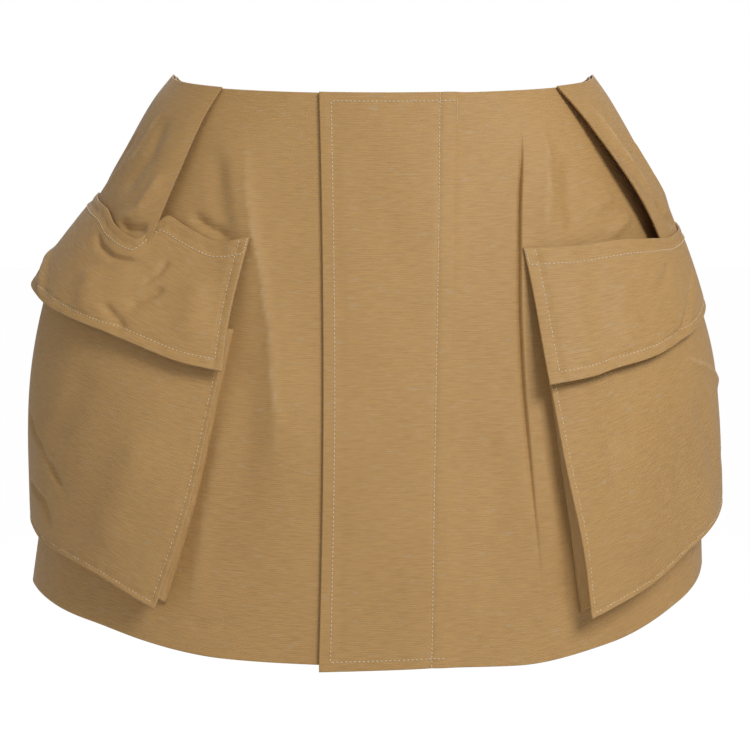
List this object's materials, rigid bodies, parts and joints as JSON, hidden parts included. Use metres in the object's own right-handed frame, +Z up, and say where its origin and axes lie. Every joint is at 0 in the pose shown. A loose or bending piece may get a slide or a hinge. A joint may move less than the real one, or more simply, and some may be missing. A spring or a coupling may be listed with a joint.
{
  "type": "cargo mini skirt",
  "caption": "Short flared skirt in stiff twill, standing open as if worn, with a lapped full-length fly, folded hip pleats and two bellows pockets with flaps.",
  "frame": {"origin": "middle of the waist opening, at the height of the waist edge over the hips, where the wearer's waist holds the skirt", "axes": "+Z up, -Y the front of the skirt, +X the wearer's left"},
  "size_m": [0.4462, 0.3034, 0.3558],
  "materials": {
    "cloth": "matte twill with a slight sheen",
    "thread": "matte sewing thread"
  },
  "bodies": {
    "root": {"front_right": "cloth", "front_left": "cloth", "back": "cloth", "hip_pleat_right": "cloth", "hip_pleat_left": "cloth", "pocket_face_right": "cloth", "pocket_face_left": "cloth", "pocket_gusset_right": "cloth", "pocket_gusset_left": "cloth", "pocket_flap_right": "cloth", "pocket_flap_left": "cloth"}
  },
  "joints": []
}
